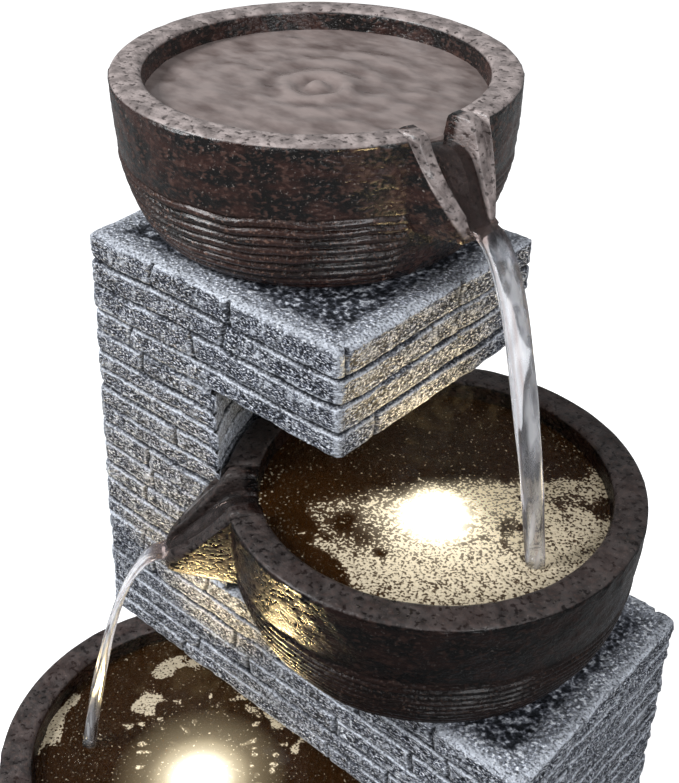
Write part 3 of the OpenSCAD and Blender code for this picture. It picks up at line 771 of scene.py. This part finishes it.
def make_lower_column():
    """The pump's compartment, hollow, with its door opening and water gates."""
    low, high = box_mm("lower_column")
    loop = rounded_rectangle(low[0], low[1], high[0], high[1], (2, 2, 2, 2), 1.0)
    thing = stone_block("lower_column_stone", loop, course_edges(low[2], high[2], SEED + 3), SEED + 3,
                        replaces=["lower_column"], round_top=0.5)
    wall = 4.0
    door_low, door_high = box_mm("rear_door")
    lip = 3.0
    jack_low, jack_high = box_mm("dc_jack_housing")
    cut(thing, [low[0] + wall, low[1] + wall, low[2] - 1], [high[0] - wall, high[1] - wall, high[2] + 1])
    cut(thing, [door_low[0] + lip, high[1] - wall - 1, door_low[2] + lip],
        [door_high[0] - lip, high[1] + 3, door_high[2] - lip])
    cut(thing, [jack_low[0] + 2, high[1] - wall - 1, jack_low[2] + 2],
        [jack_high[0] - 2, high[1] + 3, jack_high[2] - 2])
    for x in (-50, 10, 60):
        cut(thing, [x - 7, low[1] - 3, low[2] - 1], [x + 7, low[1] + wall + 1, low[2] + 10])


def make_basin():
    """Open basin: stacked-stone sides, a flat rim, plain inner walls and a floor."""
    low, high = box_mm("base_basin")
    wall, floor = 5.0, low[2] + 4.0
    loop = rounded_rectangle(low[0], low[1], high[0], high[1], (3, 3, 3, 3), 1.0)
    edges = course_edges(low[2], high[2], SEED + 4)
    grid, mask = stone_wall(loop, edges, SEED + 4, lambda z: 0 * z, 1.4, 1.4)
    centre = (low + high) / 2
    half = (high - low) / 2
    plan = (loop[0] - centre[:2]) / half[:2]
    rows = [(1.8, high[2]), (wall - 1.2, high[2]), (wall - 0.3, high[2] - 0.4), (wall, high[2] - 1.2)]
    rows += [(wall, z) for z in np.linspace(high[2] - 4, floor + 1, 10)] + [(wall + 1, floor)]
    rows += [(wall + 1 + 6 * k, floor) for k in range(1, 13)]
    rings, masks = [], []
    for inset, z in rows:
        ring = np.zeros((len(plan), 3))
        ring[:, :2] = centre[:2] + plan * (half[:2] - inset)
        ring[:, 2] = z
        inner = inset >= wall
        ring[:, 2] += (not inner) * 0.12 * rough(ring, 5.0, 91, 2)
        rings.append(ring)
        masks.append(np.tile([0.0, 0.0 if inner else 0.35, 0.6 if inner else 0.0], (len(plan), 1)))
    faces = closed_faces(grid.shape[0] + len(rings), grid.shape[1])
    thing = make_mesh("base_basin_stone", np.concatenate([grid.reshape(-1, 3), *rings]), faces, STONE,
                      np.concatenate([mask.reshape(-1, 3), *masks]))
    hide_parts("base_basin")


def make_pedestal():
    """Round pedestal under the lower bowl."""
    low, high = box_mm("bowl_pedestal")
    r = (high[0] - low[0]) / 2
    x, y = (low[:2] + high[:2]) / 2
    a = np.linspace(0, 2 * math.pi, 220, endpoint=False)
    normals = np.stack([np.cos(a), np.sin(a)], -1)
    loop = (normals * r + [x, y], normals, np.zeros(len(a), int), np.full(len(a), FREE))
    stone_block("bowl_pedestal_stone", loop, course_edges(low[2], high[2], SEED + 5), SEED + 5,
                replaces=["bowl_pedestal"], round_top=0.6, round_bottom=0.4)


make_lower_column()
make_basin()
make_pedestal()


# ---------------------------------------------------------------- water

def still_look():
    """Clouded brown water without a light under it."""
    look = Look("pool_top_look", roughness=0.06, ior=WATER_IOR)
    _, ripple_shade, _ = look.mask()
    clouds = look.speckle(10.0, 4.0, (1.0, 1.7, 1.0))
    # Ripple crests are painted lighter and troughs darker: painted light and shade of the rings.
    swirl = look.plus(clouds, look.times(ripple_shade, 0.38))
    look.set("Base Color", look.ramp(swirl, [(0.46, (0.125, 0.094, 0.087)),
                                             (0.80, (0.275, 0.225, 0.210))]))
    return look.bump(look.speckle(4.0, 3.0, (1.0, 1.7, 1.0)), 0.35, 0.3).material


def lit_look(name, halo):
    """Clear amber water with froth lit from below, the lamp's light painted into its colour and emission.
    Mask is (nearness of the lamp, froth, bubbles). halo is the nearness at which the water starts to glow
    with painted light."""
    look = Look(name, roughness=0.05, ior=WATER_IOR)
    glow, froth, bubbles = look.mask()
    weave = look.cells(0.85)
    holes = look.plus(look.times(weave, 0.30), look.speckle(0.75, 4.0))
    lace = look.ramp(look.plus(look.times(froth, 0.30), holes),
                     [(0.825, 0.0), (0.91, 1.0)])
    beads = look.ramp(look.cells(1.6), [(0.16, 1.0), (0.27, 0.0)])
    # Froth and bubbles are painted brighter the nearer they lie to the lamp: painted light.
    lit = look.ramp(glow, [(0.0, 0.5), (0.25, 0.8), (0.5, 1.0)])
    bright = look.most(look.most(lace, look.times(froth, glow)),
                       look.times(bubbles, beads))
    bright = look.times(bright, lit)
    look.set("Base Color", look.mix(bright, (0.030, 0.011, 0.002), (0.80, 0.71, 0.54)))
    cloud = look.most(look.ramp(froth, [(0.0, 0.62), (0.35, 1.0)]), bright)
    look.set("Alpha", look.most(cloud, look.ramp(glow, [(0.12, 0.0), (0.38, 1.0)])))
    # Emission round the lamp is painted light: the water itself gives none.
    look.set("Emission Color", look.ramp(glow, [(0.0, (1.0, 0.78, 0.42)), (0.6, (1.0, 0.90, 0.66)),
                                                (1.0, (1.0, 0.97, 0.88))]))
    core = look.ramp(glow, [(halo, 0.0), (halo * 0.6 + 0.4, 0.30), (1.0, 1.0)])
    core = look.times(core, 2.6)
    foam_light = look.times(bright, look.plus(look.times(glow, 1.3), 0.10))
    look.set("Emission Strength", look.plus(foam_light, core))
    return look.bump(look.plus(weave, look.speckle(2.2, 2.0)), 0.45, 0.6).material


def froth_mask(x, y, reach, toward, near, seed):
    """Share of froth at points x, y from a bowl's axis. It lies on the side where the stream lands, in the
    direction toward, and thins out on the far side. near is the distance from where the stream lands."""
    along = (x * toward[0] + y * toward[1]) / reach
    across = (-x * toward[1] + y * toward[0]) / reach
    distance = np.hypot(along, across)
    angle = np.degrees(np.arctan2(across, along))
    place = np.stack([x, y, 0 * x], -1)
    wander = 0.15 * rough(place, 22.0, seed, 5)
    edge = along - 0.52 * across + 0.13 + wander
    outer = 0.68 + 0.36 * smoothstep(-118, -58, angle) + wander
    dense = smoothstep(-0.06, 0.22, edge) * (1 - smoothstep(0.0, 0.05, distance - outer))
    thin = 1 - smoothstep(0.15, 0.75, across) * 0.85
    streaks = smoothstep(-0.9, 0.5, rough(place, 5.0, seed + 5, 4) + 1.1 * (thin - 0.35))
    arcs = 0.90 + 0.10 * np.cos(near / 0.42 + 2.2 * noise(place, 9.0, seed + 7))
    gap_reach = ((x - DARK_WATER[0]) / 9.0) ** 2 + ((y - DARK_WATER[1]) / 7.0) ** 2
    gap = np.exp(-gap_reach + 0.5 * noise(place, 6.0, seed + 8))
    return np.clip(dense * streaks * arcs * (1 - gap), 0, 1)


def patch_mask(x, y, reach, seed):
    """Broken patches of froth, and short painted glints of lamp light near the lamp, drawn out round a
    bowl's axis.
    """
    distance = np.hypot(x, y)
    angle = np.arctan2(y, x)
    ring = np.stack([np.cos(angle) * 22 + distance * 0.5, np.sin(angle) * 22, distance * 0.9], -1)
    patches = smoothstep(0.28, 0.50, noise(ring, 9.0, seed) + 0.40 * noise(ring, 3.0, seed + 1))
    glint_place = np.stack([np.cos(angle) * 16, np.sin(angle) * 16, distance * 0.5], -1)
    near_lamp = np.exp(-((distance / reach - 0.42) / 0.17) ** 2)
    # Painted glints: short bright streaks of lamp light in a ring round the lamp.
    glints = smoothstep(0.45, 0.62, noise(glint_place, 1.7, seed + 2)) * near_lamp
    return np.clip(patches * smoothstep(0.32, 0.5, distance / reach) + 0.8 * glints, 0, 1)


def make_pool(name, bowl, landing, seed, froth_kind=None):
    """A bowl's water: a rippled disc with a skirt that follows the wall down out of sight."""
    r, level = bowl["r"], bowl["level"]
    depth = (bowl["h"] - BOWL_FLOOR - WATER_DEPTH) / (bowl["h"] - BOWL_FLOOR)
    edge = r * float(inner_curve(np.array(depth))) + 0.35
    radii = edge * np.linspace(0, 1, 150)[1:] ** 0.9
    angles = np.linspace(0, 2 * math.pi, 340, endpoint=False)
    rr, aa = np.meshgrid(radii, angles, indexing="ij")
    x, y = rr * np.cos(aa), rr * np.sin(aa)
    points = np.stack([bowl["x"] + x, bowl["y"] + y, np.full(rr.shape, level)], -1)
    landed = np.array(landing) - [bowl["x"], bowl["y"]]
    near = np.hypot(x - landed[0], y - landed[1])
    calm = 1 - smoothstep(edge - 5, edge, rr)
    if froth_kind:
        ripple = 0.40 * np.cos(near / 1.05) * np.exp(-near / 8.0) + 0.16 * rough(points, 5.0, seed, 3)
        rings = np.cos(near / 0.9 + 2.5 * noise(points, 7.0, seed + 4))
        ripple = ripple + 0.09 * rings * np.exp(-near / 45)
        look = lit_look(name + "_look", 0.40 if froth_kind == "full" else 0.13)
    else:
        well = 1.0 * np.cos(rr / 1.5 + 1.1 * noise(points, 8.0, seed + 1)) * np.exp(-rr / 12)
        ripple = well + 0.30 * rough(points * [1, 1.6, 1], 10.0, seed + 6, 3)
        look = still_look()
    points[..., 2] += ripple * calm
    # Nearness of the lamp, used to paint its light onto the froth and the water.
    lamp = np.hypot(x - GLOW_LEAN[0], y - GLOW_LEAN[1])
    glow = np.clip(0.85 * np.exp(-(lamp / 8.5) ** 2) + 0.42 * np.exp(-(lamp / 26.0) ** 2), 0, 1)
    froth = 0 * rr
    if froth_kind == "full":
        froth = froth_mask(x, y, edge, landed / np.linalg.norm(landed), near, seed)
    if froth_kind == "broken":
        froth = patch_mask(x, y, edge, seed)
    bubbles = smoothstep(0.80, 0.97, rr / edge) * smoothstep(-0.1, 0.4, noise(points, 14.0, seed + 9))
    bubbles = np.maximum(bubbles, 0.9 * np.exp(-(near / 6.5) ** 2))
    if not froth_kind:
        bubbles = 0 * bubbles
        # Still water has no froth: this channel holds the ripple height, painted as light and shade in its
        # colour.
        froth = np.clip(0.5 + 0.9 * ripple, 0, 1)
    mask = np.stack([glow, froth, bubbles], -1)
    rows, cols = rr.shape
    hub = np.array([[bowl["x"], bowl["y"], level + ripple[0].mean()]])
    skirt = points[-1].copy()
    skirt[:, 2] -= 1.5
    all_points = np.concatenate([points.reshape(-1, 3), skirt, hub])
    all_mask = np.concatenate([mask.reshape(-1, 3), mask[-1], mask[0].mean(0)[None]])
    faces = [f[::-1] for f in strip_faces(rows + 1, cols)]
    hub_index = len(all_points) - 1
    faces += [[hub_index, c, (c + 1) % cols] for c in range(cols)]
    make_mesh(name, all_points, faces, look, all_mask)


def stream_look():
    """Clear falling water with white streaks along its length, painted highlights on its sides."""
    look = Look("stream_water", roughness=0.10, specular=0.6, ior=WATER_IOR)
    streak_highlight, _, _ = look.mask()
    lines = look.ramp(look.speckle(2.6, 1.0, (1.0, 1.0, 0.025)), [(0.40, 0.0), (0.64, 1.0)])
    white = look.times(look.plus(look.times(lines, 0.55), 0.45), streak_highlight)
    falling = look.mix(lines, (0.50, 0.51, 0.54), (0.80, 0.81, 0.84))
    in_air = look.ramp(streak_highlight, [(0.28, 0.0), (0.5, 1.0)])
    look.set("Base Color", look.mix(in_air, (0.44, 0.35, 0.33), falling))
    look.set("Transmission Weight", look.ramp(white, [(0.22, 0.98), (0.45, 0.86), (1.0, 0.55)]))
    return look.bump(look.speckle(3.0, 1.0, (1.0, 1.0, 0.03)), 0.15, 0.3).material


STREAM = stream_look()


def fall(bowl, level):
    """Path of the water along a spout's channel and down to a level, and the spout's heading."""
    heading = np.array([math.cos(bowl["angle"]), math.sin(bowl["angle"])])
    axis = np.array([bowl["x"], bowl["y"]])
    root_r, root_z = bowl["r"] * 0.80, bowl["level"] - 0.6
    tip_r, tip_z = bowl["tip"] + 0.3, bowl["z"] + bowl["tip_z"] + 1.2
    path = []
    for t in np.linspace(0, 1, 14):
        rise = np.clip((tip_r - (root_r + (tip_r - root_r) * t)) / (tip_r - bowl["r"] * 0.93), 0, 1)
        z = tip_z + (root_z - tip_z) * float(smoothstep(0, 1, rise)) ** 0.8
        path.append([*(axis + heading * (root_r + (tip_r - root_r) * t)), z - 2.2 * max(0.0, 1 - 6 * t)])
    drop_time = math.sqrt(2 * (tip_z - level) / GRAVITY)
    for t in np.linspace(0, drop_time, 46)[1:]:
        path.append([*(axis + heading * (tip_r + JET_SPEED * t)), tip_z - GRAVITY * t * t / 2])
    return np.array(path), heading


def make_stream(name, bowl, level, width, seed):
    """A ribbon of water that narrows and twists as it falls."""
    path, heading = fall(bowl, level - 0.8)
    sides = 28
    across = np.array([-heading[1], heading[0], 0])
    angles = np.linspace(0, 2 * math.pi, sides, endpoint=False)
    fallen = np.clip((path[13, 2] - path[:, 2]) / max(path[13, 2] - path[-1, 2], 1), 0, 1)
    in_channel = np.arange(len(path)) < 14
    wide = np.where(in_channel, 1.4 * width, width * (1.15 - 0.45 * fallen))
    thick = np.where(in_channel, width * 0.20, width * (0.34 + 0.30 * fallen))
    rings = []
    for i, centre in enumerate(path):
        tangent = path[min(i + 1, len(path) - 1)] - path[max(i - 1, 0)]
        tangent /= np.linalg.norm(tangent)
        normal = np.cross(tangent, across)
        normal /= np.linalg.norm(normal)
        twist = 0.0 if in_channel[i] else 0.9 * fallen[i]
        u = math.cos(twist) * across + math.sin(twist) * normal
        v = -math.sin(twist) * across + math.cos(twist) * normal
        lobes = 1 + 0.10 * np.cos(3 * angles + 5 * fallen[i]) + 0.05 * np.cos(5 * angles - 9 * fallen[i])
        ring = u * np.cos(angles)[:, None] * wide[i] / 2 + v * np.sin(angles)[:, None] * thick[i] / 2
        rings.append(centre + ring * lobes[:, None])
    points = np.array(rings)
    points += (0.16 * noise(points * [1, 1, 0.3], 3.0, seed) * fallen[:, None])[..., None] * [1, 1, 0]
    # White streaks round the stream's sides: painted highlights.
    streak_highlight = 0.25 + 0.75 * np.abs(np.cos(1.5 * angles + 0.8))[None, :] * np.ones((len(path), 1))
    streak_highlight = streak_highlight * (0.3 + 0.7 * smoothstep(0, 0.05, fallen))[:, None]
    mask = np.stack([streak_highlight, 0 * streak_highlight, 0 * streak_highlight], -1).reshape(-1, 3)
    make_mesh(name, points.reshape(-1, 3), closed_faces(len(path), sides), STREAM, mask)
    return path[-1]


basin_low, basin_high = box_mm("base_basin")
basin_level = basin_high[2] - 9.5
landings = [make_stream("stream_top", top, middle["level"], 7.2, 5),
            make_stream("stream_middle", middle, lower["level"], 6.0, 6),
            make_stream("stream_lower", lower, basin_level, 6.0, 8)]
make_pool("pool_top", top, (top["x"], top["y"]), 61)
make_pool("pool_middle", middle, landings[0][:2], 67, "full")
make_pool("pool_lower", lower, landings[1][:2], 71, "broken")


def make_basin_pool():
    """Water in the basin: a rippled sheet a little inside its walls."""
    wall = 5.0
    xs = np.linspace(basin_low[0] + wall - 0.3, basin_high[0] - wall + 0.3, 150)
    ys = np.linspace(basin_low[1] + wall - 0.3, basin_high[1] - wall + 0.3, 140)
    gx, gy = np.meshgrid(xs, ys, indexing="ij")
    points = np.stack([gx, gy, np.full(gx.shape, basin_level)], -1)
    near = np.hypot(gx - landings[2][0], gy - landings[2][1])
    points[..., 2] += 0.7 * np.cos(near / 1.6) * np.exp(-near / 16) + 0.25 * rough(points, 9.0, 83, 3)
    n, m = gx.shape
    i = np.arange(n - 1)[:, None] * m
    j = np.arange(m - 1)[None, :]
    faces = np.stack([i + j, i + m + j, i + m + j + 1, i + j + 1], -1).reshape(-1, 4).tolist()
    look = Look("basin_water", roughness=0.04, ior=WATER_IOR)
    look.set("Base Color", look.ramp(look.speckle(20, 2.0), [(0.35, (0.55, 0.60, 0.62)),
                                                             (0.65, (0.75, 0.80, 0.82))]))
    look.set("Transmission Weight", 0.9)
    look.bump(look.speckle(5.0, 3.0), 0.4, 0.5)
    make_mesh("pool_basin", points.reshape(-1, 3), faces, look.material)


make_basin_pool()


# ---------------------------------------------------------------- CAD nodes that keep their shape

BLACK = moulded("black_plastic", (0.018, 0.018, 0.02), 0.38)
KEPT = {
    "black_plastic": BLACK,
    "door_resin": PLAIN_STONE,
    "white_plastic": moulded("white_plastic", (0.72, 0.73, 0.70), 0.3),
    "grey_plastic": moulded("grey_plastic", (0.25, 0.26, 0.28), 0.42),
    "soft_rubber": moulded("soft_rubber", (0.03, 0.03, 0.032), 0.75, 0.3, 0.9, 0.05),
    "hose_vinyl": moulded("hose_vinyl", (0.60, 0.64, 0.62), 0.25),
    "lead_jacket": moulded("lead_jacket", (0.02, 0.02, 0.022), 0.5),
    "led_lens": lens_look(),
    "led_board": moulded("led_board", (0.75, 0.78, 0.73), 0.35),
    "nickel_steel": metal("nickel_steel", (0.62, 0.60, 0.57)),
    "shaft_ceramic": moulded("shaft_ceramic", (0.82, 0.80, 0.76), 0.2, 0.6, 0.3, 0.01),
    "ferrite": moulded("ferrite", (0.05, 0.05, 0.055), 0.6, 0.5, 0.8, 0.05),
}

SLOT_OF = {row["node"]: row["material_slot"] for row in frame["record"]["subparts"]}
for node, thing in frame["nodes"].items():
    if SLOT_OF[node] in KEPT:
        thing.data.materials.clear()
        thing.data.materials.append(KEPT[SLOT_OF[node]])


# ---------------------------------------------------------------- floor and light

def add_floor():
    bpy.ops.mesh.primitive_plane_add(size=6)
    floor = bpy.context.object
    floor.name = "floor"
    look = Look("pale_floor", roughness=0.9, specular=0.1)
    look.set("Base Color", look.ramp(look.speckle(60, 2.0), [(0.3, 0.93), (0.7, 0.95)]))
    look.set("Emission Color", (1.0, 1.0, 1.0, 1.0))
    look.set("Emission Strength", 0.7)
    floor.data.materials.append(look.material)
    floor.visible_glossy = False
    floor.visible_diffuse = False


def add_light(name, place, aim, size, power, colour):
    """A soft square lamp at place, aimed at aim."""
    lamp = bpy.data.objects.new(name, bpy.data.lights.new(name, "AREA"))
    lamp.data.size = size
    lamp.data.energy = power
    lamp.data.color = colour
    lamp.location = place
    lamp.rotation_euler = (Vector(aim) - Vector(place)).to_track_quat("-Z", "Y").to_euler()
    bpy.context.scene.collection.objects.link(lamp)


def add_glow(bowl, landing, inside, upward):
    """Light of a bowl's lamp: a weak one all round, just over its lens, and a stronger one straight up from
    the lit froth, on the side where the stream lands."""
    toward = np.array(landing[:2]) - [bowl["x"], bowl["y"]]
    toward /= np.linalg.norm(toward)
    for kind, power in (("POINT", inside), ("SPOT", upward)):
        lamp = bpy.data.objects.new("glow", bpy.data.lights.new("glow", kind))
        lamp.data.energy = power
        lamp.data.color = (1.0, 0.74, 0.36)
        lamp.data.shadow_soft_size = 0.006
        lean = LAMP_LEAN if kind == "SPOT" else 0
        height = bowl["level"] + 3 if kind == "SPOT" else bowl["z"] + 30
        lamp.location = Vector((bowl["x"] + lean * toward[0], bowl["y"] + lean * toward[1], height)) * MM
        if kind == "SPOT":
            lamp.data.spot_size = math.radians(96)
            lamp.data.spot_blend = 0.4
            lamp.rotation_euler = (math.pi, 0, 0)
        bpy.context.scene.collection.objects.link(lamp)


add_floor()
world = bpy.data.worlds.new("studio")
world.use_nodes = True
world.node_tree.nodes["Background"].inputs["Color"].default_value = (0.96, 0.98, 1.0, 1)
world.node_tree.nodes["Background"].inputs["Strength"].default_value = 0.28
bpy.context.scene.world = world
add_light("key", (-0.45, -0.6, 0.85), (0, 0, 0.18), 0.35, 10.5, (0.975, 0.985, 1.0))
add_light("side", (0.75, -0.35, 0.75), (0, 0, 0.18), 0.35, 5.5, (0.98, 0.98, 1.0))
add_glow(middle, landings[0], 0.02, 0.20)
add_glow(lower, landings[1], 0.02, 0.38)
